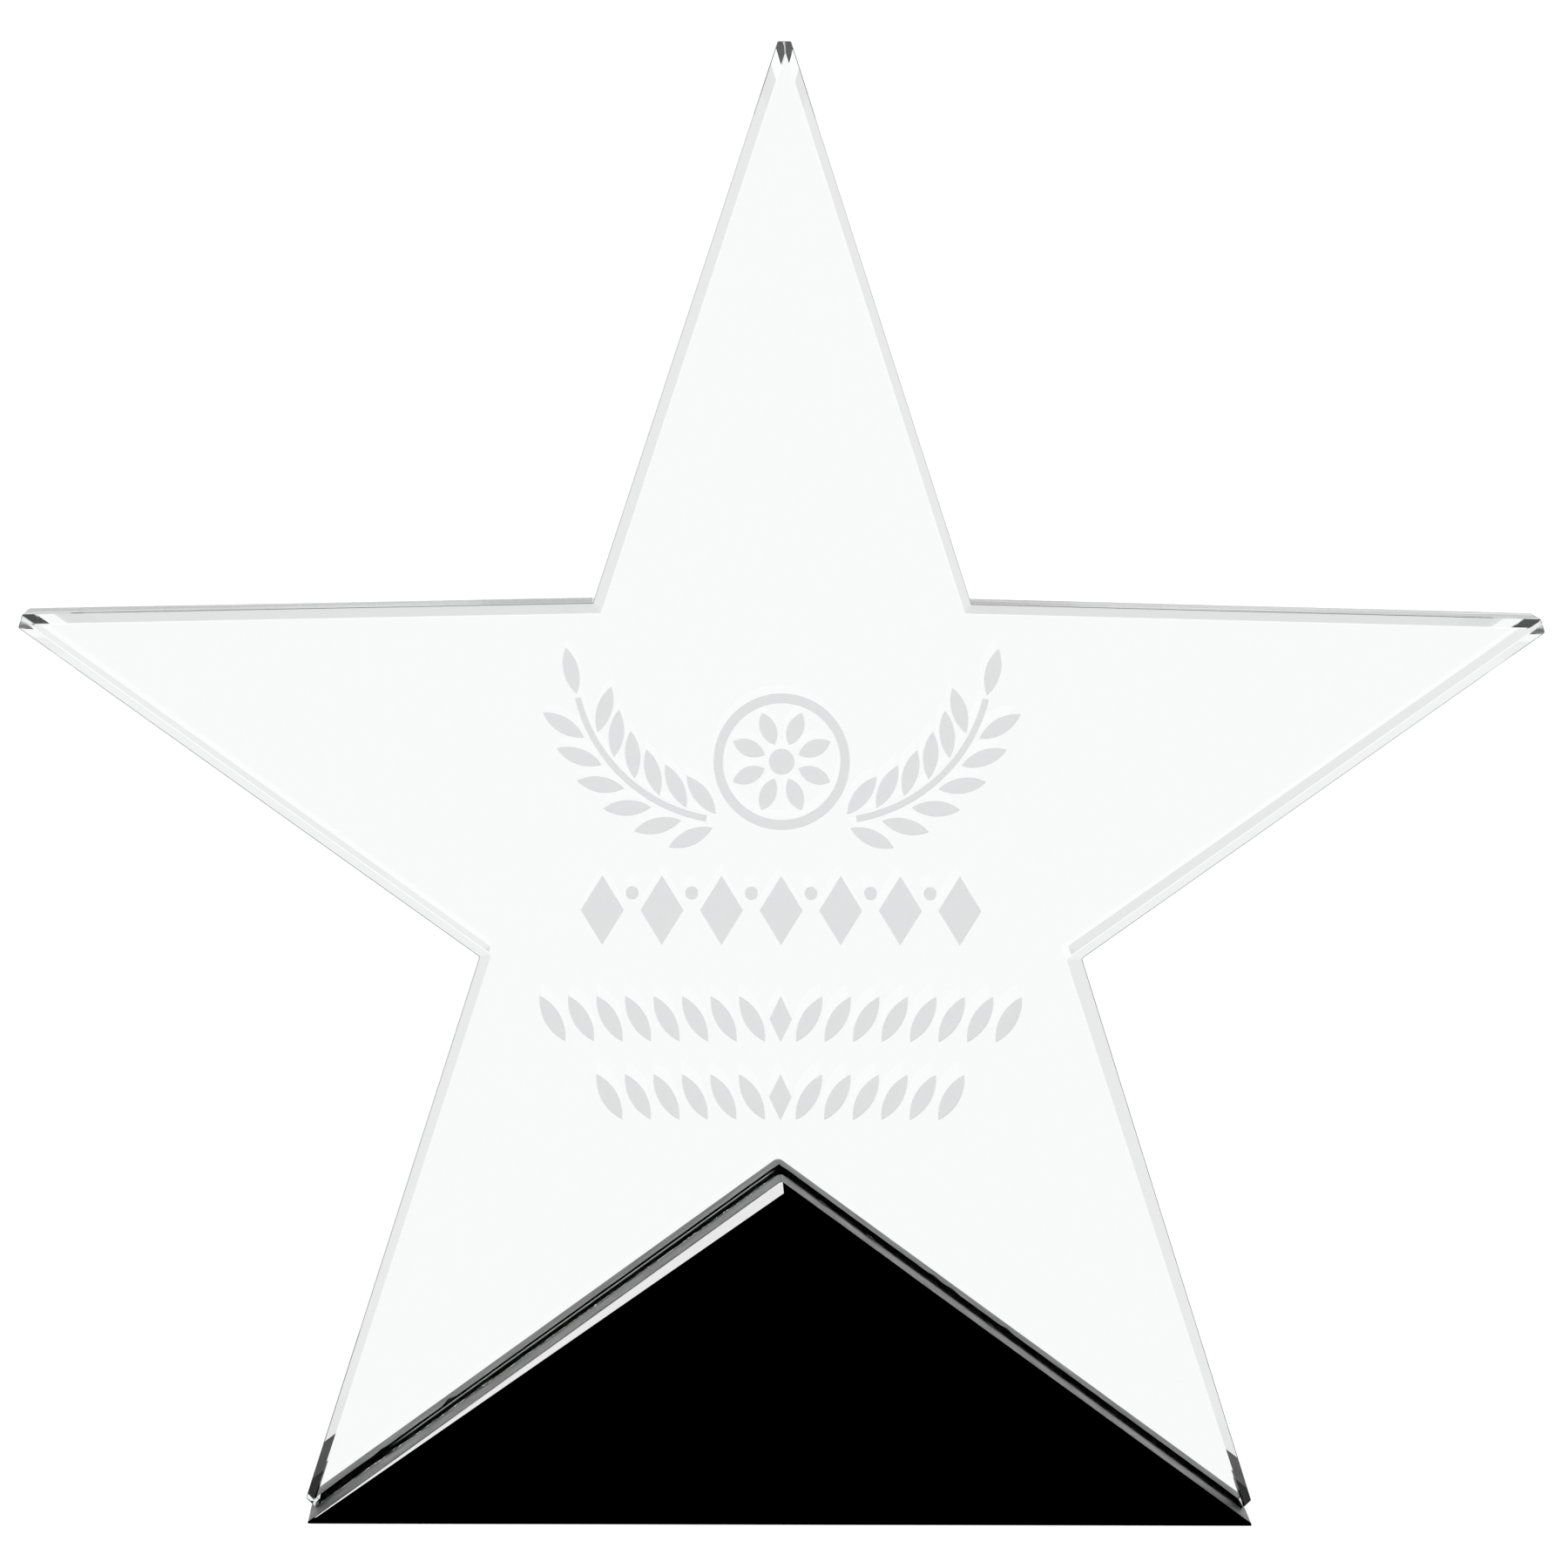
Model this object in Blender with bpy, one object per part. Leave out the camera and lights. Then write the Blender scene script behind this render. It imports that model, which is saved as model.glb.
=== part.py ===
"""Star-shaped crystal award.

A clear crystal star stands astride a black crystal base. The base is a
triangular prism that fills the notch between the star's two feet, and a thin
film of clear adhesive bonds each side of the notch to the base. The star is
chamfered all round, except along the notch, where it is bonded.

The award faces -Y, stands on Z = 0, and is symmetric about X = 0 and Y = 0,
except for the decoration, which is recessed into the star's front face only.
"""

import math

import bmesh
import bpy
from mathutils import Matrix, Vector

MM = 0.001

# Base: a prism whose ridge runs front to back
BASE_HALF_WIDTH = 55.6 * MM
BASE_DEPTH = 38.1 * MM
BASE_SLOPE = math.radians(36.0)
BASE_RIM_BEVEL = 0.8 * MM
BASE_CORNER_BLUNT = 0.4 * MM
BASE_HEIGHT = BASE_HALF_WIDTH * math.tan(BASE_SLOPE)

# The bevel on the base's front left rim is ground unevenly
UNEVEN_BEVEL_AT_RIDGE = 1.0 * MM
UNEVEN_BEVEL_AT_CORNER = 0.2 * MM

# Adhesive between the base's slopes and the star's notch
FILM_THICKNESS = 0.12 * MM
FILM_CLEARANCE = 0.05 * MM
FILM_SIDE_MARGIN = 0.6 * MM
FILM_RIDGE_MARGIN = 0.8 * MM
FILM_FOOT_MARGIN = 1.2 * MM
BOND_LINE = FILM_THICKNESS + 2 * FILM_CLEARANCE

# Star: corners of its right half as if every tip were sharp
STAR_THICKNESS = 15.9 * MM
STAR_BEVEL_WIDTH = 1.05 * MM
STAR_BEVEL_SLOPE = math.radians(28.0)
STAR_BEVEL_DEPTH = STAR_BEVEL_WIDTH * math.tan(STAR_BEVEL_SLOPE)
TOP_TIP = Vector((0.0, 175.6)) * MM
SHOULDER = Vector((22.2, 107.35)) * MM
ARM_TIP = Vector((91.8, 105.8)) * MM
WAIST = Vector((35.4, 65.7)) * MM
LEG_SLOPE = math.radians(72.4)
NOTCH = Vector((0.0, BASE_HEIGHT + BOND_LINE / math.cos(BASE_SLOPE)))

# How far each sharp tip is ground back, along its own centre line
TOP_TIP_CUT = 2.4 * MM
ARM_TIP_CUT = 2.6 * MM
FOOT_TIP_CUT = 2.0 * MM

# Sand-carved decoration on the front face
CARVING_DEPTH = 0.35 * MM
ARC_STEPS = 9
EMBLEM_CENTRE = Vector((0.0, 88.8)) * MM
MEDALLION_RADIUS = 8.0 * MM
MEDALLION_RING = 1.1 * MM
PETALS = 8
SPRAY_CENTRE = Vector((5.5, 12.0)) * MM
SPRAY_RADIUS = 19.0 * MM
SPRAY_START = math.radians(-80.0)
SPRAY_END = math.radians(-14.0)
SPRAY_LEAF_PAIRS = 6
SPRAY_STEM = 0.7 * MM
LEAF_SPREAD = math.radians(38.0)
LEAF_GAP = 0.5 * MM
LEAF_SIZE = Vector((5.6, 1.8)) * MM
LOZENGE_ROW_Z = 71.3 * MM
LOZENGE_SIZE = Vector((5.0, 8.1)) * MM
LOZENGE_PITCH = 7.0 * MM
LOZENGES_EACH_SIDE = 3
GARLAND_ROWS = ((58.5 * MM, 8), (49.3 * MM, 6))
GARLAND_LEAF = Vector((6.1, 1.9)) * MM
GARLAND_PITCH = 3.35 * MM
GARLAND_LEAN = math.radians(60.0)
GARLAND_LOZENGE = Vector((2.6, 5.4)) * MM
DOT_RADIUS = 0.75 * MM


# ---------------------------------------------------------------- scene set-up

def clear_scene():
    for obj in list(bpy.data.objects):
        bpy.data.objects.remove(obj, do_unlink=True)


def new_collection(name):
    collection = bpy.data.collections.new(name)
    bpy.context.scene.collection.children.link(collection)
    return collection


def new_material(name, color, roughness, metallic=0.0, transmission=0.0):
    material = bpy.data.materials.new(name)
    material.use_nodes = True
    shader = material.node_tree.nodes["Principled BSDF"]
    shader.inputs["Base Color"].default_value = (*color, 1.0)
    shader.inputs["Roughness"].default_value = roughness
    shader.inputs["Metallic"].default_value = metallic
    shader.inputs["Transmission Weight"].default_value = transmission
    material.diffuse_color = (*color, 1.0)
    return material


# ------------------------------------------------------------ modelling helpers

def plate_mesh(name, outlines, thickness, centre_y=0.0):
    """Mesh of flat outlines, given as X and Z, with a thickness along Y.

    An outline inside another one is a hole in it.
    """
    curve = bpy.data.curves.new(name, "CURVE")
    curve.dimensions = "2D"
    curve.fill_mode = "BOTH"
    curve.extrude = thickness / 2
    for outline in outlines:
        spline = curve.splines.new("POLY")
        spline.points.add(len(outline) - 1)
        for point, (x, z) in zip(spline.points, outline):
            point.co = (x, z, 0.0, 1.0)
        spline.use_cyclic_u = True
    holder = bpy.data.objects.new(name, curve)
    bpy.context.scene.collection.objects.link(holder)
    evaluated = holder.evaluated_get(bpy.context.evaluated_depsgraph_get())
    mesh = bpy.data.meshes.new_from_object(evaluated)
    bpy.data.objects.remove(holder)
    bpy.data.curves.remove(curve)
    mesh.name = name
    mesh.transform(Matrix.Translation((0.0, centre_y, 0.0)) @ Matrix.Rotation(math.pi / 2, 4, "X"))
    weld_and_flatten(mesh)
    return mesh


def weld_and_flatten(mesh):
    """Joins a plate's loose caps to its sides and merges its flat triangles."""
    shape = bmesh.new()
    shape.from_mesh(mesh)
    bmesh.ops.remove_doubles(shape, verts=shape.verts, dist=0.001 * MM)
    bmesh.ops.dissolve_limit(
        shape, angle_limit=math.radians(0.5), verts=shape.verts, edges=shape.edges)
    bmesh.ops.recalc_face_normals(shape, faces=shape.faces)
    shape.to_mesh(mesh)
    shape.free()


def bevel_rims(mesh, width, depth, left_square=()):
    """Chamfers the edges around a plate's front and back faces.

    The width is measured across the face, and the depth along the plate's sides. A
    rim that ends at a point in left_square, given as X and Z, stays square.
    """
    shape = bmesh.new()
    shape.from_mesh(mesh)
    rims = [edge for edge in shape.edges
            if abs(edge.verts[0].co.y - edge.verts[1].co.y) < 0.01 * MM
            and edge.calc_face_angle() > math.radians(30)
            and not any((vert.co.xz - point).length < 0.01 * MM
                        for vert in edge.verts for point in left_square)]
    face_y = max(vert.co.y for vert in shape.verts)
    bmesh.ops.bevel(
        shape, geom=rims, offset=width, offset_type="OFFSET", segments=1,
        profile=0.5, affect="EDGES", clamp_overlap=False)
    for vert in shape.verts:
        if abs(abs(vert.co.y) - (face_y - width)) < 0.01 * MM:
            vert.co.y = math.copysign(face_y - depth, vert.co.y)
    bmesh.ops.recalc_face_normals(shape, faces=shape.faces)
    shape.to_mesh(mesh)
    shape.free()


def grind_flat(mesh, plane_point, outward):
    """Takes off what stands out past a plane, and closes the cut."""
    shape = bmesh.new()
    shape.from_mesh(mesh)
    cut = bmesh.ops.bisect_plane(
        shape, geom=shape.verts[:] + shape.edges[:] + shape.faces[:], dist=0.0001 * MM,
        plane_co=plane_point, plane_no=outward, clear_outer=True)
    cut_edges = [item for item in cut["geom_cut"] if isinstance(item, bmesh.types.BMEdge)]
    bmesh.ops.edgeloop_fill(shape, edges=cut_edges)
    bmesh.ops.recalc_face_normals(shape, faces=shape.faces)
    shape.to_mesh(mesh)
    shape.free()


def grind_tip(mesh, tip, inward, depth):
    """Cuts a sharp tip off square to its centre line."""
    ground = tip + inward * depth
    grind_flat(mesh, Vector((ground.x, 0.0, ground.y)), Vector((-inward.x, 0.0, -inward.y)))


def grind_rim(mesh, start, end, start_width, end_width, face_side):
    """Chamfers one straight rim of the base, whose width may change along it.

    The rim's ends are X and Z points, anticlockwise as seen from the front, and
    face_side is -1 on the front face and 1 on the back face.
    """
    along = (end - start).normalized()
    inward = Vector((-along.y, 0.0, along.x))
    face_y = face_side * BASE_DEPTH / 2
    on_side = Vector((start.x, face_y - face_side * start_width, start.y))
    on_side_end = Vector((end.x, face_y - face_side * end_width, end.y))
    on_face = Vector((start.x, face_y, start.y)) + inward * start_width
    outward = (on_side_end - on_side).cross(on_face - on_side).normalized()
    if outward.y * face_side < 0:
        outward.negate()
    grind_flat(mesh, on_side, outward)


def place(name, mesh, material, collection):
    obj = bpy.data.objects.new(name, mesh)
    mesh.materials.clear()
    mesh.materials.append(material)
    collection.objects.link(obj)
    return obj


def carve(obj, cutter_mesh, collection):
    """Recesses a cutter's shape into an object, and leaves the cutter as a guide."""
    cutter = bpy.data.objects.new(cutter_mesh.name, cutter_mesh)
    cutter.hide_render = True
    cutter.display_type = "WIRE"
    collection.objects.link(cutter)
    boolean = obj.modifiers.new("carving", "BOOLEAN")
    boolean.operation = "DIFFERENCE"
    boolean.solver = "EXACT"
    boolean.object = cutter


# ------------------------------------------------------------- outline functions

def mirrored(half):
    """Closes an outline whose first and last points lie on X = 0."""
    other_half = [Vector((-point.x, point.y)) for point in reversed(half[1:-1])]
    return half + other_half


def leg_and_notch_crossing():
    """Where the leg's outer side would meet the notch's side, at the sharp foot."""
    leg_run = 1 / math.tan(LEG_SLOPE)
    notch_run = 1 / math.tan(BASE_SLOPE)
    z = (NOTCH.y * notch_run - WAIST.x - WAIST.y * leg_run) / (notch_run - leg_run)
    return Vector(((NOTCH.y - z) * notch_run, z))


def inward_at(tip, one_side, other_side):
    """Unit direction from a tip along its centre line."""
    return ((one_side - tip).normalized() + (other_side - tip).normalized()).normalized()


def turned(points, angle, centre):
    rotation = Matrix.Rotation(angle, 2)
    return [rotation @ point + centre for point in points]


def flipped(outline):
    return [Vector((-point.x, point.y)) for point in outline]


def leaf(size, angle, centre):
    """Pointed leaf between two arcs, its length turned to an angle."""
    half_length, half_width = size.x / 2, size.y / 2
    radius = (half_length ** 2 + half_width ** 2) / (2 * half_width)
    half_sweep = math.asin(half_length / radius)
    upper = []
    for step in range(ARC_STEPS):
        sweep = half_sweep * (1 - 2 * step / ARC_STEPS)
        upper.append(Vector((radius * math.sin(sweep), radius * math.cos(sweep) - radius + half_width)))
    return turned(upper + [-point for point in upper], angle, centre)


def lozenge(size, centre):
    half_x, half_z = size / 2
    corners = ((half_x, 0.0), (0.0, half_z), (-half_x, 0.0), (0.0, -half_z))
    return [centre + Vector(corner) for corner in corners]


def disc(radius, centre, steps):
    turns = (2 * math.pi * step / steps for step in range(steps))
    return [centre + radius * Vector((math.cos(turn), math.sin(turn))) for turn in turns]


def arc_band(centre, radius, width, start, end, steps):
    """Curved strip of constant width."""
    turns = [start + (end - start) * step / steps for step in range(steps + 1)]
    outer = [centre + (radius + width / 2) * Vector((math.cos(t), math.sin(t))) for t in turns]
    inner = [centre + (radius - width / 2) * Vector((math.cos(t), math.sin(t))) for t in turns]
    return outer + inner[::-1]


# -------------------------------------------------------------------- decoration

def medallion():
    """Ring around a rosette of petals."""
    outlines = [
        disc(MEDALLION_RADIUS, EMBLEM_CENTRE, 6 * ARC_STEPS),
        disc(MEDALLION_RADIUS - MEDALLION_RING, EMBLEM_CENTRE, 6 * ARC_STEPS),
        disc(2 * DOT_RADIUS, EMBLEM_CENTRE, 3 * ARC_STEPS),
    ]
    petal = Vector((0.5, 0.24)) * MEDALLION_RADIUS
    reach = 0.52 * MEDALLION_RADIUS
    for index in range(PETALS):
        turn = 2 * math.pi * (index + 0.5) / PETALS
        direction = Vector((math.cos(turn), math.sin(turn)))
        outlines.append(leaf(petal, turn, EMBLEM_CENTRE + reach * direction))
    return outlines


def spray():
    """Laurel spray on the right of the medallion."""
    centre = EMBLEM_CENTRE + SPRAY_CENTRE
    outlines = [arc_band(centre, SPRAY_RADIUS, SPRAY_STEM, SPRAY_START, SPRAY_END, 2 * ARC_STEPS)]
    stand_off = SPRAY_STEM / 2 + LEAF_GAP + LEAF_SIZE.x / 2 * math.sin(LEAF_SPREAD)
    for index in range(SPRAY_LEAF_PAIRS):
        turn = SPRAY_START + (SPRAY_END - SPRAY_START) * (index + 0.35) / SPRAY_LEAF_PAIRS
        direction = Vector((math.cos(turn), math.sin(turn)))
        along = turn + math.pi / 2
        for side in (-1, 1):
            middle = centre + (SPRAY_RADIUS + side * stand_off) * direction
            outlines.append(leaf(LEAF_SIZE, along - side * LEAF_SPREAD, middle))
    end = Vector((math.cos(SPRAY_END), math.sin(SPRAY_END)))
    forward = Vector((-end.y, end.x))
    tip_leaf_centre = centre + SPRAY_RADIUS * end + (LEAF_SIZE.x / 2 + LEAF_GAP) * forward
    outlines.append(leaf(LEAF_SIZE, SPRAY_END + math.pi / 2, tip_leaf_centre))
    return outlines


def lozenge_row():
    """Large lozenges with a dot between each two."""
    outlines = []
    for index in range(-LOZENGES_EACH_SIDE, LOZENGES_EACH_SIDE + 1):
        outlines.append(lozenge(LOZENGE_SIZE, Vector((index * LOZENGE_PITCH, LOZENGE_ROW_Z))))
    for index in range(-LOZENGES_EACH_SIDE, LOZENGES_EACH_SIDE):
        centre = Vector(((index + 0.5) * LOZENGE_PITCH, LOZENGE_ROW_Z + LOZENGE_SIZE.y / 4))
        outlines.append(disc(DOT_RADIUS, centre, 2 * ARC_STEPS))
    return outlines


def garland_row(z, leaves_each_side):
    """Leaves leaning away from a lozenge in the middle."""
    outlines = [lozenge(GARLAND_LOZENGE, Vector((0.0, z)))]
    for index in range(leaves_each_side):
        right = leaf(GARLAND_LEAF, GARLAND_LEAN, Vector(((index + 1) * GARLAND_PITCH, z)))
        outlines += [right, flipped(right)]
    return outlines


def carving_outlines():
    right_spray = spray()
    outlines = medallion() + right_spray + [flipped(outline) for outline in right_spray]
    outlines += lozenge_row()
    for z, leaves_each_side in GARLAND_ROWS:
        outlines += garland_row(z, leaves_each_side)
    return outlines


# ------------------------------------------------------------------------- parts

def star_mesh():
    foot_tip = leg_and_notch_crossing()
    half = [TOP_TIP, SHOULDER, ARM_TIP, WAIST, foot_tip, NOTCH]
    mesh = plate_mesh("star", [mirrored(half)], STAR_THICKNESS)
    bevel_rims(mesh, STAR_BEVEL_WIDTH, STAR_BEVEL_DEPTH, left_square=[NOTCH])
    grind_tip(mesh, TOP_TIP, Vector((0.0, -1.0)), TOP_TIP_CUT)
    arm_inward = inward_at(ARM_TIP, SHOULDER, WAIST)
    foot_inward = inward_at(foot_tip, WAIST, NOTCH)
    for side in (1, -1):
        mirror = Vector((side, 1))
        grind_tip(mesh, ARM_TIP * mirror, arm_inward * mirror, ARM_TIP_CUT)
        grind_tip(mesh, foot_tip * mirror, foot_inward * mirror, FOOT_TIP_CUT)
    return mesh


def carving_cutter_mesh():
    """Reaches from clear of the front face to the carving's depth behind it."""
    stand_out = 1.0 * MM
    thickness = stand_out + CARVING_DEPTH
    centre_y = -STAR_THICKNESS / 2 + CARVING_DEPTH - thickness / 2
    return plate_mesh("carving_cutter", carving_outlines(), thickness, centre_y)


def base_mesh():
    ridge = Vector((0.0, BASE_HEIGHT))
    left_corner = Vector((-BASE_HALF_WIDTH, 0.0))
    right_corner = Vector((BASE_HALF_WIDTH, 0.0))
    mesh = plate_mesh("base", [[ridge, left_corner, right_corner]], BASE_DEPTH)
    even = (BASE_RIM_BEVEL, BASE_RIM_BEVEL)
    uneven = (UNEVEN_BEVEL_AT_RIDGE, UNEVEN_BEVEL_AT_CORNER)
    for face_side, left_rim_widths in ((-1, uneven), (1, even)):
        grind_rim(mesh, ridge, left_corner, *left_rim_widths, face_side)
        grind_rim(mesh, left_corner, right_corner, *even, face_side)
        grind_rim(mesh, right_corner, ridge, *even, face_side)
    grind_tip(mesh, left_corner, Vector((1.0, 0.0)), BASE_CORNER_BLUNT)
    grind_tip(mesh, right_corner, Vector((-1.0, 0.0)), BASE_CORNER_BLUNT)
    return mesh


def film_mesh(side):
    """Adhesive film along one slope: side is 1 on the right and -1 on the left."""
    down_slope = Vector((math.cos(BASE_SLOPE), -math.sin(BASE_SLOPE)))
    off_slope = Vector((math.sin(BASE_SLOPE), math.cos(BASE_SLOPE)))
    ridge = Vector((0.0, BASE_HEIGHT))
    foot_tip = leg_and_notch_crossing()
    length = (foot_tip - NOTCH).length - FOOT_TIP_CUT - FILM_FOOT_MARGIN
    low = ridge + FILM_CLEARANCE * off_slope
    high = low + FILM_THICKNESS * off_slope
    outline = [
        low + FILM_RIDGE_MARGIN * down_slope,
        low + length * down_slope,
        high + length * down_slope,
        high + FILM_RIDGE_MARGIN * down_slope,
    ]
    if side < 0:
        outline = flipped(outline)
    width = STAR_THICKNESS - 2 * FILM_SIDE_MARGIN
    return plate_mesh("adhesive_film", [outline], width)


def build():
    clear_scene()
    parts = new_collection("crystal_star_award")
    cutters = new_collection("cutters")
    clear_crystal = new_material("clear_crystal", (0.90, 0.95, 0.94), 0.02, transmission=1.0)
    black_crystal = new_material("black_crystal", (0.004, 0.004, 0.005), 0.03)
    adhesive = new_material("clear_adhesive", (0.82, 0.84, 0.82), 0.12, transmission=1.0)

    star = place("crystal_star", star_mesh(), clear_crystal, parts)
    carve(star, carving_cutter_mesh(), cutters)
    place("black_base", base_mesh(), black_crystal, parts)
    place("adhesive_film_left", film_mesh(-1), adhesive, parts)
    place("adhesive_film_right", film_mesh(1), adhesive, parts)


build()
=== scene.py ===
"""Looks of the crystal star award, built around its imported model.

The clear star and the black base start as copies of the CAD solids. The star's bevels
are widened unevenly, as hand grinding leaves them, and sharp edges get a small chamfer
that catches light. Each adhesive film becomes a layer that fills the joint, with beads
squeezed out along the star's front and back. The studio is one world gradient with a
bright backdrop behind the award, dark flags beside it and a dark disc on the camera's
side, so that clear crystal shows its bevels on a white background.
"""

import math
import random

import bmesh
import bpy
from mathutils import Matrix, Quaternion, Vector


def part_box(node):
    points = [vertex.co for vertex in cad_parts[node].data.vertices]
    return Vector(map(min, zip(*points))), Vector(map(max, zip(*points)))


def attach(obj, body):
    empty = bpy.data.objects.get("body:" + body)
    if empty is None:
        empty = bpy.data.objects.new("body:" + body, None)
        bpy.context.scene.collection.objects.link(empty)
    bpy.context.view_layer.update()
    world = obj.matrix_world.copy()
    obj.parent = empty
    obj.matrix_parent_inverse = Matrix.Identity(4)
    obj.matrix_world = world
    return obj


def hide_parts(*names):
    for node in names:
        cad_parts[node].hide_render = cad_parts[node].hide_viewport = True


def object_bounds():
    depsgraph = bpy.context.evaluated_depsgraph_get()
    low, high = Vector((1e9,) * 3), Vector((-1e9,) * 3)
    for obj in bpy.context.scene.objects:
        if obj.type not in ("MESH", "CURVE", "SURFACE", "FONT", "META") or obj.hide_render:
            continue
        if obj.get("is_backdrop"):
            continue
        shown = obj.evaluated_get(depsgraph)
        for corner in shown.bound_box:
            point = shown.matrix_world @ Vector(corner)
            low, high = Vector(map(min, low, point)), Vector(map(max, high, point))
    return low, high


MM = 0.001

# Camera
LENS = 283.6
SENSOR_WIDTH = 36.0
CAMERA_PLACE = Vector((-0.0174, -1.4551, 0.1709))
CAMERA_YAW = math.radians(-0.7)
CAMERA_PITCH = math.radians(3.35)
CAMERA_ROLL = math.radians(0.22)

# Meshes: sizes and angles below which things count as one
MERGE_DISTANCE = 0.001 * MM
RIM_TOLERANCE = 0.01 * MM
FLAT_ANGLE = math.radians(0.3)
SHARP_ANGLE = math.radians(12)

# Star
STAR_CHAMFER = 0.08 * MM
CARVING_ZONE = 0.5 * MM
CARVING_FLOOR = 0.1 * MM
NOTCH_ZONE = 0.5 * MM
FOOT_HEIGHT = 3.0 * MM
MIDDLE_HEIGHT = 100 * MM
ARM_TOP_AREA = 100 * MM * MM

# Parts of a face's normal along one axis, which tell the star's faces apart
EDGE_ON = 0.1
LOOKS_DOWN = -0.7
LOOKS_UP = 0.95
BEVEL_FACING = 0.5
WALL_FACING = 0.9
BLOCK_FACING = 0.97
FRONT_FACING = 0.99

# Base
BASE_SLOPE = math.radians(36)
BASE_CHAMFER = 0.18 * MM
BASE_SHARP_ANGLE = math.radians(30)
RIDGE_ROUNDING = 0.6 * MM
RIDGE_SEGMENTS = 3
RIDGE_LENGTH = 30 * MM
RIDGE_TOLERANCE = 0.1 * MM
LEFT_BEVEL_EXTRA = 0.4 * MM

# Material slots of the star, and of the base
POLISHED, GROUND, FROSTED, BONDED, ARM_TOP = range(5)
BLACK_POLISHED, BLACK_GROUND, BLACK_MATT = range(3)
STREAK_STRETCH = (0.08, 1.0, 1.0)

# How much wider than in the CAD the star's bevels are ground by hand, at the front and
# at the back of each side
WIDER_BEVELS = {
    "top arm right": (0.05 * MM, 0.0), "top arm left": (0.25 * MM, 0.35 * MM),
    "arm top right": (0.10 * MM, 0.0), "arm top left": (0.20 * MM, 0.0),
    "arm below right": (0.0, 0.40 * MM), "arm below left": (0.0, 0.10 * MM),
    "leg right": (0.80 * MM, 0.0), "leg left": (0.25 * MM, 0.0),
}

# Adhesive: heights are measured square to the base's slope, and the adhesive stops
# short of the left foot
DRY_FOOT = -54.2 * MM
JOINT_HEIGHT = 0.07 * MM
JOINT_GAP = 0.012 * MM
JOINT_OVERRUN = 0.6 * MM

# Beads of adhesive: their height varies by waves and a few drips, and tapers at both
# ends. The curve gives shares of the reach and of the height between wall and slope.
BEAD_STEP = 0.4 * MM
BEAD_HEIGHT = 0.04 * MM
BEAD_REACH = 0.06 * MM
BEAD_CURVE = ((0.18, 0.62), (0.5, 0.26))
BEAD_WAVES = 5
BEAD_WAVE_SHARE = 0.12
BEAD_LEAST_SHARE = 0.3
BEAD_END_SHARE = 0.2
BEAD_TAPER_AT_FOOT = 3 * MM
BEAD_TAPER_AT_RIDGE = 1 * MM
BEAD_DRIPS = 3
BEAD_DRIP_HEIGHT = 0.16 * MM
BEAD_DRIP_LENGTH = 0.6 * MM

# Thin void in the left joint, drawn as a grey line of painted light in the bonded face's
# colour, which stands in for the background seen through the gap: it runs along the slope
# between two depths, from near the ridge, and ends before the foot
VOID_FRONT = 0.9 * MM
VOID_BACK = 4.3 * MM
VOID_FADE = 0.5 * MM
VOID_WANDER = 0.3 * MM
VOID_WANDER_LENGTH = 30 * MM
VOID_START = -0.5 * MM
VOID_START_FADE = 1 * MM
VOID_END = -46 * MM
VOID_END_FADE = 3 * MM
VOID_PAINTED_LIGHT = (0.85, 0.79, 0.80, 1.0)

# Studio: brightness of the surroundings at each angle above the horizon, in degrees
SURROUNDINGS = {
    -90: 0.45, -45: 0.30, -35: 0.10, -29: 0.10, -23: 0.72, -18: 0.79, -10: 0.83,
    -5: 0.82, 1: 0.85, 6: 0.89, 10: 0.95, 15: 0.90, 22: 0.78, 29: 0.45,
    35: 0.10, 55: 0.06, 70: 0.8, 90: 1.0,
}
# Bright disc behind the award, and dark disc on the camera's side
BACKDROP = Vector((0.012, math.cos(math.radians(3.4)), -math.sin(math.radians(3.4))))
BACKDROP_INNER = math.radians(8.0)
BACKDROP_OUTER = math.radians(11.0)
BACKDROP_LEVEL = 1.04
CAMERA_SIDE_SHADE = Vector(
    (0.012, -math.cos(math.radians(4.5)), -math.sin(math.radians(4.5))))
SHADE_INNER = math.radians(5.5)
SHADE_OUTER = math.radians(8.5)
SHADE_LEVEL = 0.03
# Black flags beside the award: a direction's sideways part fades from open to flag
# between the first two limits, and back to open between the last two
FLAG_LIMITS = (0.30, 0.36, 0.55, 0.62)
FLAG_LEVEL = 0.12
FLOOR_HALF_SIZE = 60.0
FLOOR_GLOW = 0.8
SOFTBOX_DIRECTION = (-0.605, -0.396, 0.691)
SOFTBOX_DISTANCE = 1.6
SOFTBOX_SIZE = 0.3
SOFTBOX_POWER = 9.0
BLACK_LEVEL = 0.008


# ------------------------------------------------------------------ mesh helpers

def cad_copy(node, name):
    """A new object with a copy of a CAD node's mesh, its flat faces merged."""
    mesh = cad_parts[node].data.copy()
    mesh.name = name
    shape = bmesh.new()
    shape.from_mesh(mesh)
    bmesh.ops.remove_doubles(shape, verts=shape.verts, dist=MERGE_DISTANCE)
    bmesh.ops.dissolve_limit(
        shape, angle_limit=FLAT_ANGLE, verts=shape.verts, edges=shape.edges)
    shape.normal_update()
    shape.to_mesh(mesh)
    shape.free()
    obj = bpy.data.objects.new(name, mesh)
    bpy.context.scene.collection.objects.link(obj)
    return obj


def chamfer_edges(mesh, wanted, width, segments=1, clamp=True):
    """Takes the sharpness off the edges that the wanted test picks."""
    shape = bmesh.new()
    shape.from_mesh(mesh)
    edges = [edge for edge in shape.edges
             if edge.is_manifold and edge.calc_face_angle() > SHARP_ANGLE and wanted(edge)]
    bmesh.ops.bevel(
        shape, geom=edges, offset=width, offset_type="OFFSET", segments=segments,
        profile=0.5, affect="EDGES", clamp_overlap=clamp)
    shape.normal_update()
    shape.to_mesh(mesh)
    shape.free()


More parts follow.
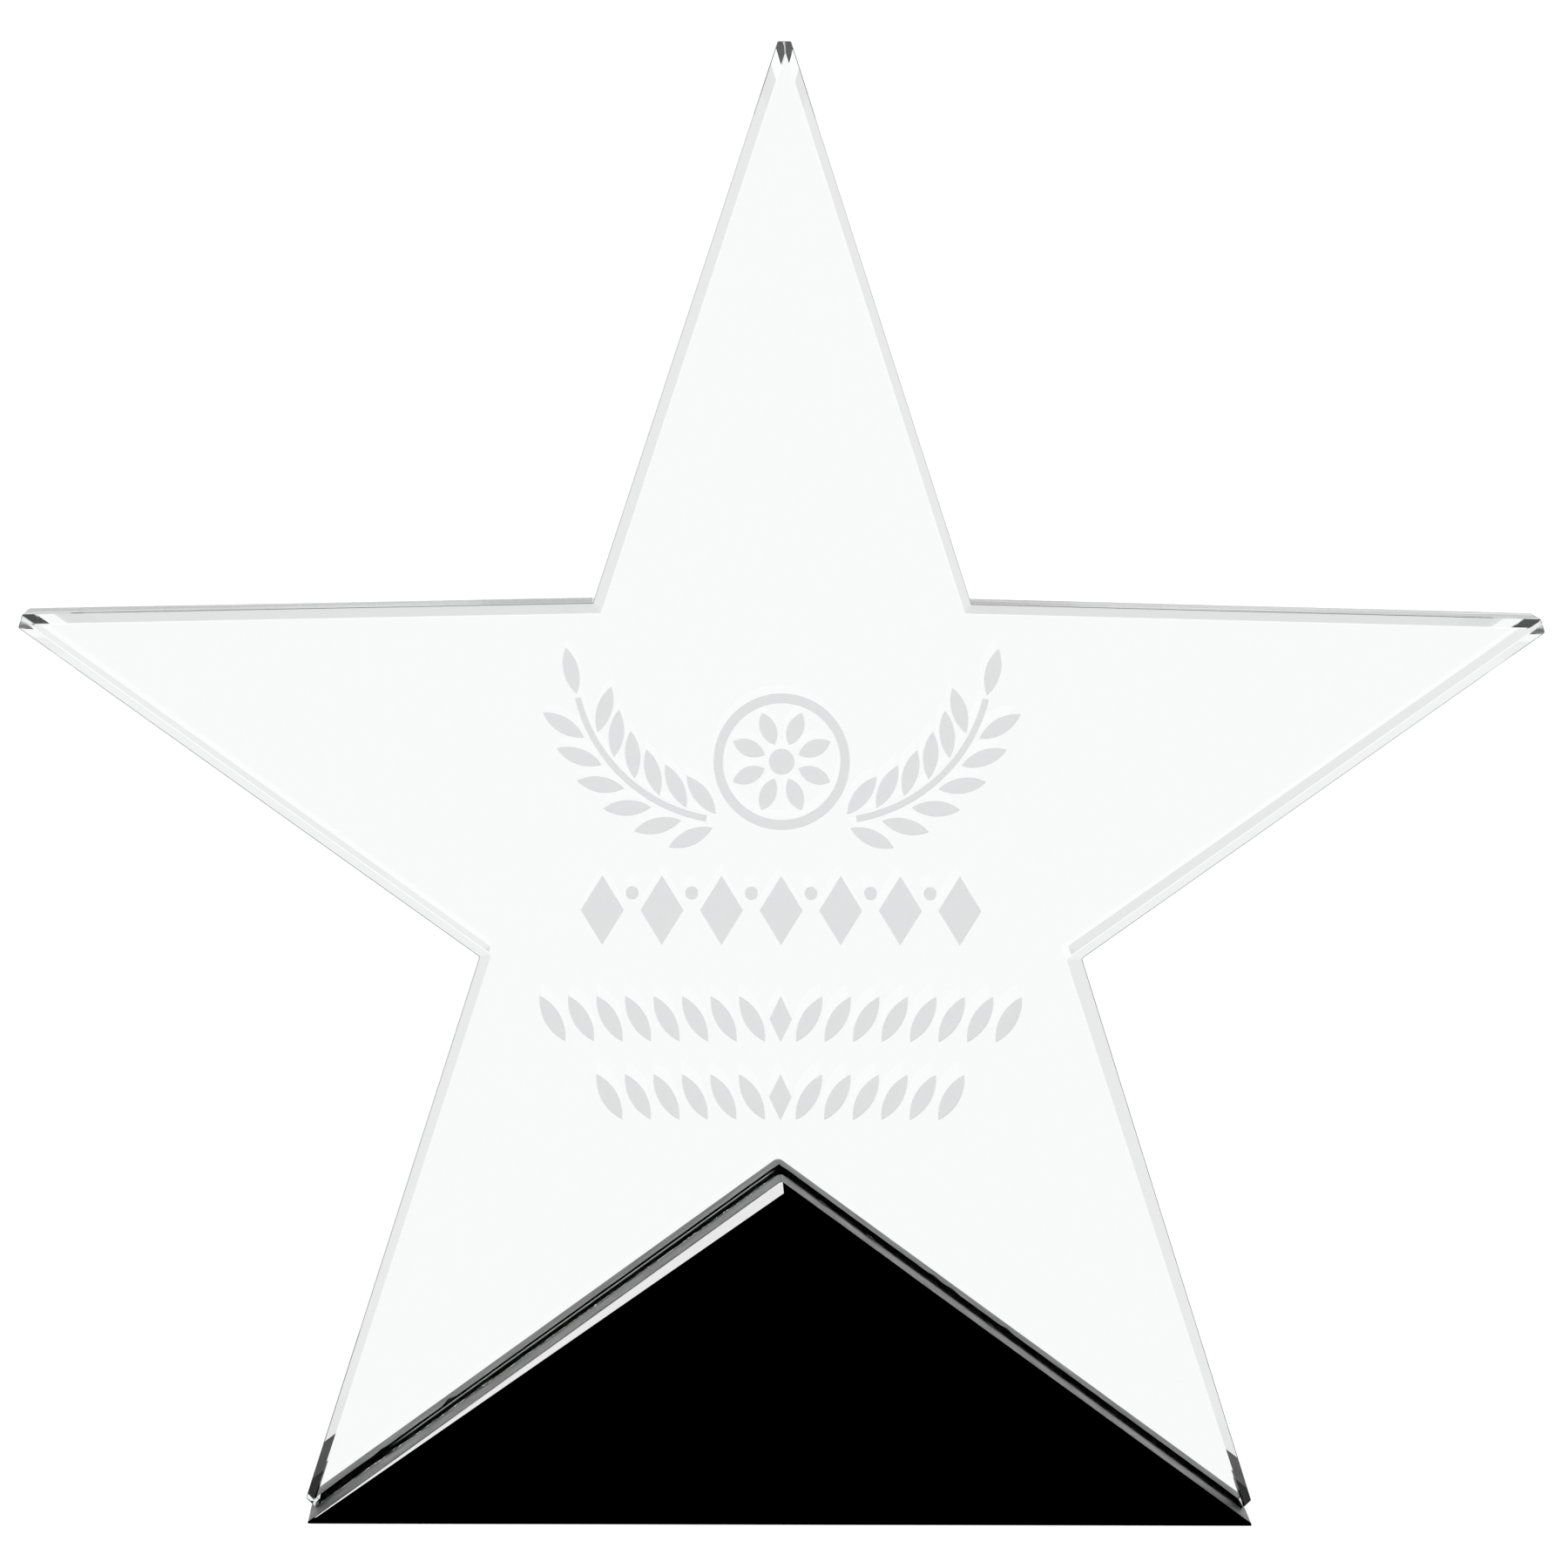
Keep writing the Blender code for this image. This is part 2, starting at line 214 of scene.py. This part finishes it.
def is_notch_wall(normal, centre):
    """Whether a face of the star lies along the base's slope, looking down at it."""
    above = (centre.z - ridge_z) * math.cos(BASE_SLOPE) + abs(centre.x) * math.sin(BASE_SLOPE)
    return normal.z < LOOKS_DOWN and abs(normal.y) < EDGE_ON and abs(above) < NOTCH_ZONE


def lower_notch(mesh):
    """Brings the star's notch down onto the joint, and cuts its left wall at the dry foot."""
    shape = bmesh.new()
    shape.from_mesh(mesh)
    shape.normal_update()
    walls = [face for face in shape.faces
             if is_notch_wall(face.normal, face.calc_center_median())]
    corners = {vert for face in walls for vert in face.verts}
    drop = max(vert.co.z for vert in corners) - ridge_z - JOINT_HEIGHT / math.cos(BASE_SLOPE)
    for vert in corners:
        vert.co.z -= drop
    for face in walls:
        if face.normal.x < 0:
            continue
        bmesh.ops.bisect_plane(
            shape, geom=[face, *face.edges, *face.verts], plane_co=(DRY_FOOT, 0.0, 0.0),
            plane_no=(1.0, 0.0, 0.0))
    shape.to_mesh(mesh)
    shape.free()


def side_of_star(normal, centre):
    """Names the side of the star that one of its faces belongs to."""
    side = "right" if centre.x > 0 else "left"
    if abs(normal.x) < EDGE_ON:
        return f"arm top {side}"
    if normal.z < -EDGE_ON:
        return f"arm below {side}"
    return f"top arm {side}" if centre.z > MIDDLE_HEIGHT else f"leg {side}"


def widen_bevels(mesh):
    """Moves the rims of the star's two faces inwards, but for their ends at the feet."""
    shape = bmesh.new()
    shape.from_mesh(mesh)
    shape.normal_update()
    front, back = (pick(vert.co.y for vert in shape.verts) for pick in (min, max))
    moves = {}
    for vert in shape.verts:
        between = front + RIM_TOLERANCE < vert.co.y < back - RIM_TOLERANCE
        if between or vert.co.z < FOOT_HEIGHT:
            continue
        sides = [face for face in vert.link_faces if abs(face.normal.y) < FRONT_FACING]
        if not any(abs(face.normal.y) > BEVEL_FACING for face in sides):
            continue
        limits = []
        for face in sides:
            wider = 0.0
            if abs(face.normal.y) > BEVEL_FACING:
                name = side_of_star(face.normal, face.calc_center_median())
                wider = WIDER_BEVELS[name][0 if face.normal.y < 0 else 1]
            limits.append((Vector((face.normal.x, face.normal.z)).normalized(), -wider))
        if len(limits) == 1:
            outward, by = limits[0]
            moves[vert] = by * Vector((outward.x, 0.0, outward.y))
            continue
        (first, by_first), (second, by_second) = limits
        area = first.x * second.y - first.y * second.x
        moves[vert] = Vector((
            (by_first * second.y - by_second * first.y) / area, 0.0,
            (first.x * by_second - second.x * by_first) / area))
    for vert, move in moves.items():
        vert.co += move
    shape.normal_update()
    shape.to_mesh(mesh)
    shape.free()


def widen_left_bevel(mesh):
    """Grinds the base's uneven front bevel wider still at the ridge."""
    front = min(vert.co.y for vert in mesh.vertices)
    apex = max((vert for vert in mesh.vertices if vert.co.y < front + RIM_TOLERANCE),
               key=lambda vert: vert.co.z)
    apex.co += LEFT_BEVEL_EXTRA * Vector((math.sin(BASE_SLOPE), 0.0, -math.cos(BASE_SLOPE)))


# --------------------------------------------------------------------- materials

def new_material(name):
    material = bpy.data.materials.new(name)
    material.use_nodes = True
    return material, material.node_tree.nodes, material.node_tree.links


def map_range(nodes, links, source, from_min, from_max, to_min, to_max):
    node = nodes.new("ShaderNodeMapRange")
    node.inputs["From Min"].default_value = from_min
    node.inputs["From Max"].default_value = from_max
    node.inputs["To Min"].default_value = to_min
    node.inputs["To Max"].default_value = to_max
    links.new(source, node.inputs["Value"])
    return node.outputs["Result"]


def math_node(nodes, links, operation, *sources):
    node = nodes.new("ShaderNodeMath")
    node.operation = operation
    for source, socket in zip(sources, node.inputs):
        links.new(source, socket)
    return node.outputs["Value"]


def noise(nodes, links, wavelength, detail=2.0, roughness=0.5, vector=None):
    node = nodes.new("ShaderNodeTexNoise")
    node.inputs["Scale"].default_value = 1 / wavelength
    node.inputs["Detail"].default_value = detail
    node.inputs["Roughness"].default_value = roughness
    if vector is None:
        vector = nodes.new("ShaderNodeTexCoord").outputs["Object"]
    links.new(vector, node.inputs["Vector"])
    return node.outputs["Fac"]


def bump(nodes, links, height, depth, shader):
    """Bump whose height runs from 0 to depth metres."""
    node = nodes.new("ShaderNodeBump")
    node.inputs["Strength"].default_value = 1.0
    node.inputs["Distance"].default_value = depth
    links.new(height, node.inputs["Height"])
    links.new(node.outputs["Normal"], shader.inputs["Normal"])


def crystal_shader(name):
    material, nodes, links = new_material(name)
    shader = nodes["Principled BSDF"]
    shader.inputs["Base Color"].default_value = (1.0, 1.0, 1.0, 1.0)
    shader.inputs["Transmission Weight"].default_value = 1.0
    shader.inputs["IOR"].default_value = 1.52
    shader.inputs["Roughness"].default_value = 0.0
    absorption = nodes.new("ShaderNodeVolumeAbsorption")
    absorption.inputs["Color"].default_value = (0.30, 0.78, 0.66, 1.0)
    absorption.inputs["Density"].default_value = 1.2
    links.new(absorption.outputs["Volume"], nodes["Material Output"].inputs["Volume"])
    return material, nodes, links, shader


def polished_faces():
    """Machine-polished faces: optically flat."""
    return crystal_shader("clear_crystal")[0]


def ground_edges():
    """Hand-ground sides and bevels: polished, but faintly wavy."""
    material, nodes, links, shader = crystal_shader("ground_crystal")
    bump(nodes, links, noise(nodes, links, 9 * MM), 0.02 * MM, shader)
    return material


def ground_sides():
    """The tops of the arms: less finely polished than the bevels, in streaks."""
    material, nodes, links, shader = crystal_shader("ground_sides")
    along_the_arm = nodes.new("ShaderNodeMapping")
    along_the_arm.inputs["Scale"].default_value = STREAK_STRETCH
    links.new(
        nodes.new("ShaderNodeTexCoord").outputs["Object"], along_the_arm.inputs["Vector"])
    streaks = noise(nodes, links, 3 * MM, vector=along_the_arm.outputs["Vector"])
    roughness = map_range(nodes, links, streaks, 0.3, 0.7, 0.12, 0.28)
    links.new(roughness, shader.inputs["Roughness"])
    return material


def frosted_carving():
    material, nodes, links = new_material("frosted_carving")
    shader = nodes["Principled BSDF"]
    shader.inputs["Base Color"].default_value = (0.865, 0.905, 0.905, 1.0)
    shader.inputs["Transmission Weight"].default_value = 1.0
    shader.inputs["IOR"].default_value = 1.52
    shader.inputs["Roughness"].default_value = 0.6
    return material


def bonded_face():
    """Crystal wetted by the adhesive: the black base shows through it, but for a void, where
    grey painted light stands in for the background seen through the gap.
    """
    material, nodes, links = new_material("bonded_face")
    shader = nodes["Principled BSDF"]
    shader.inputs["IOR"].default_value = 1.0
    shader.inputs["Specular IOR Level"].default_value = 0.0
    shader.inputs["Roughness"].default_value = 1.0

    coordinates = nodes.new("ShaderNodeTexCoord").outputs["Object"]
    split = nodes.new("ShaderNodeSeparateXYZ")
    links.new(coordinates, split.inputs["Vector"])
    wander = map_range(
        nodes, links, noise(nodes, links, VOID_WANDER_LENGTH, 1.0), 0.3, 0.7,
        -VOID_WANDER, VOID_WANDER)
    depth = math_node(nodes, links, "ADD", split.outputs["Y"], wander)
    mask = map_range(nodes, links, depth, VOID_FRONT, VOID_FRONT + VOID_FADE, 0, 1)
    for source, start, end, level_at_start, level_at_end in (
            (depth, VOID_BACK - VOID_FADE, VOID_BACK, 1, 0),
            (split.outputs["X"], VOID_END, VOID_END + VOID_END_FADE, 0, 1),
            (split.outputs["X"], VOID_START - VOID_START_FADE, VOID_START, 1, 0)):
        limit = map_range(nodes, links, source, start, end, level_at_start, level_at_end)
        mask = math_node(nodes, links, "MULTIPLY", mask, limit)
    # Grey painted light along the void, in place of the background seen through the gap
    colours = nodes.new("ShaderNodeValToRGB")
    colours.color_ramp.elements[0].color = (0.0, 0.0, 0.0, 1.0)
    colours.color_ramp.elements[1].color = VOID_PAINTED_LIGHT
    links.new(mask, colours.inputs["Fac"])
    links.new(colours.outputs["Color"], shader.inputs["Base Color"])
    return material


def black_polished():
    material, nodes, links = new_material("black_crystal")
    shader = nodes["Principled BSDF"]
    shader.inputs["Base Color"].default_value = (0.0003, 0.0003, 0.0003, 1.0)
    shader.inputs["IOR"].default_value = 1.5
    shader.inputs["Specular IOR Level"].default_value = 0.3
    shader.inputs["Roughness"].default_value = 0.02
    return material


def black_matt():
    """The base's underside and the bevels around it: ground matt."""
    material, nodes, links = new_material("black_matt")
    shader = nodes["Principled BSDF"]
    shader.inputs["Base Color"].default_value = (0.001, 0.001, 0.001, 1.0)
    shader.inputs["Specular IOR Level"].default_value = 0.0
    shader.inputs["Roughness"].default_value = 0.5
    return material


def black_ground():
    """The base's slopes: ground, and only roughly polished."""
    material, nodes, links = new_material("black_ground")
    shader = nodes["Principled BSDF"]
    shader.inputs["Base Color"].default_value = (0.0003, 0.0003, 0.0003, 1.0)
    shader.inputs["IOR"].default_value = 1.5
    streaks = noise(nodes, links, 4 * MM, 4.0, 0.6)
    roughness = map_range(nodes, links, streaks, 0.3, 0.7, 0.30, 0.40)
    links.new(roughness, shader.inputs["Roughness"])
    return material


def cured_adhesive():
    material, nodes, links = new_material("cured_adhesive")
    shader = nodes["Principled BSDF"]
    shader.inputs["Base Color"].default_value = (0.95, 0.96, 0.94, 1.0)
    shader.inputs["Transmission Weight"].default_value = 1.0
    shader.inputs["IOR"].default_value = 1.49
    shader.inputs["Roughness"].default_value = 0.06
    return material


# ------------------------------------------------------------------------ pieces

def make_star():
    star = cad_copy("crystal_star", "clear_star")
    lower_notch(star.data)
    widen_bevels(star.data)
    front = min(vert.co.y for vert in star.data.vertices)

    def on_the_block(edge):
        off_the_carving = any(max(vert.co.y for vert in face.verts) > front + CARVING_ZONE
                              for face in edge.link_faces)
        at_the_notch = any(is_notch_wall(face.normal, face.calc_center_median())
                           for face in edge.link_faces)
        return off_the_carving and not at_the_notch

    chamfer_edges(star.data, on_the_block, STAR_CHAMFER)
    star.data.materials.clear()
    for material in (
            polished_faces(), ground_edges(), frosted_carving(), bonded_face(), ground_sides()):
        star.data.materials.append(material)
    for face in star.data.polygons:
        depths = [star.data.vertices[index].co.y for index in face.vertices]
        face.use_smooth = False
        if is_notch_wall(face.normal, face.center):
            face.material_index = BONDED if face.center.x > DRY_FOOT else POLISHED
        elif max(depths) < front + CARVING_ZONE and (
                face.normal.y > -WALL_FACING or max(depths) > front + CARVING_FLOOR):
            face.material_index = FROSTED
        elif face.normal.z > LOOKS_UP and face.area > ARM_TOP_AREA:
            face.material_index = ARM_TOP
        elif abs(face.normal.y) < BLOCK_FACING:
            face.material_index = GROUND
        else:
            face.material_index = POLISHED
    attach(star, "root")
    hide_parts("crystal_star")


def make_base():
    base = cad_copy("black_base", "black_prism")
    widen_left_bevel(base.data)

    def on_the_ridge(edge):
        return edge.calc_length() > RIDGE_LENGTH and all(
            vert.co.z > ridge_z - RIDGE_TOLERANCE for vert in edge.verts)

    chamfer_edges(
        base.data, on_the_ridge, RIDGE_ROUNDING, segments=RIDGE_SEGMENTS, clamp=False)
    chamfer_edges(
        base.data, lambda edge: edge.calc_face_angle() > BASE_SHARP_ANGLE, BASE_CHAMFER)
    base.data.materials.clear()
    for material in (black_polished(), black_ground(), black_matt()):
        base.data.materials.append(material)
    for face in base.data.polygons:
        if face.normal.z > 0.5 and abs(face.normal.y) < EDGE_ON:
            face.material_index = BLACK_GROUND
        elif face.normal.z < -0.3:
            face.material_index = BLACK_MATT
        else:
            face.material_index = BLACK_POLISHED
    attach(base, "root")
    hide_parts("black_base")


def bead_profile(draw, length):
    """Height of a squeezed-out bead along a rim, as a share of an even bead."""
    waves = [(draw.uniform(2, 12) * MM, draw.uniform(0, 2 * math.pi))
             for _ in range(BEAD_WAVES)]
    drips = [(draw.uniform(0, length), draw.uniform(0.5, 1.0)) for _ in range(BEAD_DRIPS)]

    def height(along):
        level = 1 + BEAD_WAVE_SHARE * sum(
            math.sin(2 * math.pi * along / wave + phase) for wave, phase in waves)
        for centre, size in drips:
            level += size * BEAD_DRIP_HEIGHT / BEAD_HEIGHT * math.exp(
                -((along - centre) / BEAD_DRIP_LENGTH) ** 2)
        return max(level, BEAD_LEAST_SHARE)

    return height


def make_adhesive(node, name, side, seed, material):
    """Layer in the joint on one slope, with a bead along the star's front and back."""
    low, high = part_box(node)
    star_front, star_back = (corner.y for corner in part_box("crystal_star"))
    start = RIDGE_ROUNDING
    end = max(abs(low.x), abs(high.x)) / math.cos(BASE_SLOPE) + JOINT_OVERRUN
    draw = random.Random(seed)
    front_height, back_height = bead_profile(draw, end), bead_profile(draw, end)

    def point(along, depth, off):
        return Vector((
            side * (along * math.cos(BASE_SLOPE) + off * math.sin(BASE_SLOPE)), depth,
            ridge_z - along * math.sin(BASE_SLOPE) + off * math.cos(BASE_SLOPE)))

    def ring(along):
        """Section of the layer across the slope, from the front bead to the back one."""
        section = []
        for face_y, outward, height in (
                (star_front, -1, front_height), (star_back, 1, back_height)):
            share = height(along)
            taper = min(1.0, BEAD_END_SHARE + (end - along) / BEAD_TAPER_AT_FOOT,
                        BEAD_END_SHARE + along / BEAD_TAPER_AT_RIDGE)
            wall = face_y + outward * JOINT_GAP
            top = JOINT_HEIGHT + BEAD_HEIGHT * share * taper
            reach = BEAD_REACH * share * taper
            half = [
                (wall, JOINT_HEIGHT - JOINT_GAP),
                (wall, top),
                *((wall + outward * out * reach, top * up) for out, up in BEAD_CURVE),
                (wall + outward * reach, JOINT_GAP),
            ]
            section += half[::-1] if outward < 0 else half
        return [point(along, depth, off) for depth, off in section]

    mesh = bpy.data.meshes.new(name)
    shape = bmesh.new()
    steps = round((end - start) / BEAD_STEP)
    rings = [[shape.verts.new(corner) for corner in ring(start + (end - start) * step / steps)]
             for step in range(steps + 1)]
    count = len(rings[0])
    for this, following in zip(rings, rings[1:]):
        for index in range(count):
            after = (index + 1) % count
            shape.faces.new((this[index], this[after], following[after], following[index]))
    shape.faces.new(rings[0])
    shape.faces.new(rings[-1])
    bmesh.ops.recalc_face_normals(shape, faces=shape.faces)
    shape.to_mesh(mesh)
    shape.free()
    for face in mesh.polygons:
        face.use_smooth = len(face.vertices) == 4
    layer = bpy.data.objects.new(name, mesh)
    bpy.context.scene.collection.objects.link(layer)
    mesh.materials.append(material)
    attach(layer, "root")
    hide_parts(node)


# ------------------------------------------------------------------------ studio

def make_camera():
    data = bpy.data.cameras.new("camera")
    data.lens = LENS
    data.sensor_width = SENSOR_WIDTH
    camera = bpy.data.objects.new("camera", data)
    camera.location = CAMERA_PLACE
    camera.rotation_mode = "QUATERNION"
    camera.rotation_quaternion = (
        Quaternion((0, 0, 1), CAMERA_YAW) @ Quaternion((1, 0, 0), math.pi / 2 - CAMERA_PITCH)
        @ Quaternion((0, 0, 1), CAMERA_ROLL))
    bpy.context.scene.collection.objects.link(camera)
    bpy.context.scene.camera = camera


def make_floor():
    """Pale glowing table, seen by the camera but not reflected in the crystal."""
    mesh = bpy.data.meshes.new("floor")
    shape = bmesh.new()
    bmesh.ops.create_grid(shape, x_segments=1, y_segments=1, size=FLOOR_HALF_SIZE)
    shape.to_mesh(mesh)
    shape.free()
    floor = bpy.data.objects.new("floor", mesh)
    bpy.context.scene.collection.objects.link(floor)
    material, nodes, links = new_material("floor")
    shader = nodes["Principled BSDF"]
    shader.inputs["Base Color"].default_value = (0.9, 0.9, 0.9, 1.0)
    shader.inputs["Roughness"].default_value = 0.8
    shader.inputs["Specular IOR Level"].default_value = 0.0
    shader.inputs["Emission Color"].default_value = (1.0, 1.0, 1.0, 1.0)
    shader.inputs["Emission Strength"].default_value = FLOOR_GLOW
    mesh.materials.append(material)
    floor.visible_glossy = False
    floor.visible_transmission = False
    floor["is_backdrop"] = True


def make_world():
    """Surroundings: a gradient by the angle above the horizon, two discs and the flags."""
    world = bpy.data.worlds.new("studio")
    bpy.context.scene.world = world
    world.use_nodes = True
    nodes, links = world.node_tree.nodes, world.node_tree.links
    coordinates = nodes.new("ShaderNodeTexCoord")
    split = nodes.new("ShaderNodeSeparateXYZ")
    links.new(coordinates.outputs["Generated"], split.inputs["Vector"])
    elevation = math_node(nodes, links, "ARCSINE", split.outputs["Z"])
    place = map_range(nodes, links, elevation, -math.pi / 2, math.pi / 2, 0.0, 1.0)
    ramp = nodes.new("ShaderNodeValToRGB")
    links.new(place, ramp.inputs["Fac"])
    stops = ramp.color_ramp.elements
    stops.remove(stops[1])
    levels = sorted(SURROUNDINGS.items())
    stops[0].position = 0.0
    stops[0].color = (levels[0][1],) * 3 + (1.0,)
    for degrees, level in levels[1:]:
        stop = stops.new(degrees / 180 + 0.5)
        stop.color = (level, level, level, 1.0)

    def disc(centre, inner, outer, level_inside, level_outside):
        aim = nodes.new("ShaderNodeVectorMath")
        aim.operation = "DOT_PRODUCT"
        aim.inputs[1].default_value = centre
        links.new(coordinates.outputs["Generated"], aim.inputs[0])
        return map_range(nodes, links, aim.outputs["Value"], math.cos(inner), math.cos(outer),
                         level_inside, level_outside)

    lit = nodes.new("ShaderNodeVectorMath")
    lit.operation = "MAXIMUM"
    links.new(ramp.outputs["Color"], lit.inputs[0])
    links.new(
        disc(BACKDROP, BACKDROP_INNER, BACKDROP_OUTER, BACKDROP_LEVEL, 0.0), lit.inputs[1])
    open_part = disc(CAMERA_SIDE_SHADE, SHADE_INNER, SHADE_OUTER, SHADE_LEVEL, 1.0)

    sideways = math_node(nodes, links, "ABSOLUTE", split.outputs["X"])
    near, near_full, far_full, far = FLAG_LIMITS
    beside_flags = math_node(
        nodes, links, "MAXIMUM",
        map_range(nodes, links, sideways, near, near_full, 1.0, FLAG_LEVEL),
        map_range(nodes, links, sideways, far_full, far, FLAG_LEVEL, 1.0))
    shaded = nodes.new("ShaderNodeVectorMath")
    shaded.operation = "SCALE"
    links.new(lit.outputs["Vector"], shaded.inputs[0])
    links.new(math_node(nodes, links, "MULTIPLY", open_part, beside_flags),
              shaded.inputs["Scale"])
    links.new(shaded.outputs["Vector"], nodes["Background"].inputs["Color"])


def make_softbox():
    """Square lamp on the left that lights the base's front left bevel."""
    low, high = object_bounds()
    middle = (low + high) / 2
    data = bpy.data.lights.new("left_softbox", "AREA")
    data.shape = "RECTANGLE"
    data.size = SOFTBOX_SIZE
    data.size_y = SOFTBOX_SIZE
    data.energy = SOFTBOX_POWER
    lamp = bpy.data.objects.new("left_softbox", data)
    direction = Vector(SOFTBOX_DIRECTION).normalized()
    lamp.location = middle + SOFTBOX_DISTANCE * direction
    lamp.rotation_mode = "QUATERNION"
    lamp.rotation_quaternion = direction.to_track_quat("Z", "Y")
    lamp.visible_camera = False
    bpy.context.scene.collection.objects.link(lamp)


def set_light_paths():
    """Allows enough bounces for light trapped in the tips to leave."""
    cycles = bpy.context.scene.cycles
    cycles.max_bounces = 32
    cycles.transmission_bounces = 32
    cycles.glossy_bounces = 16


def set_tones():
    """Plain view of the render, with a camera's deep blacks."""
    view = bpy.context.scene.view_settings
    view.view_transform = "Standard"
    view.look = "None"
    view.use_curve_mapping = True
    view.curve_mapping.black_level = (BLACK_LEVEL,) * 3
    view.curve_mapping.update()


# ------------------------------------------------------------------------- build

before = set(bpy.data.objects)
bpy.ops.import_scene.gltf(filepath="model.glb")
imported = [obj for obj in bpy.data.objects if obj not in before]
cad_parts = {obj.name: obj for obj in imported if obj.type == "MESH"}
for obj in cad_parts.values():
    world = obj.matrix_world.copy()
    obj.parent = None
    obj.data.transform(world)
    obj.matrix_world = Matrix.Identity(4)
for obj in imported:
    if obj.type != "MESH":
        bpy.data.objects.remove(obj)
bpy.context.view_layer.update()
ridge_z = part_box("black_base")[1].z

make_camera()
make_star()
make_base()
adhesive = cured_adhesive()
make_adhesive("adhesive_film_left", "adhesive_left", side=-1, seed=3, material=adhesive)
make_adhesive("adhesive_film_right", "adhesive_right", side=1, seed=8, material=adhesive)
make_floor()
make_world()
make_softbox()
set_light_paths()
set_tones()
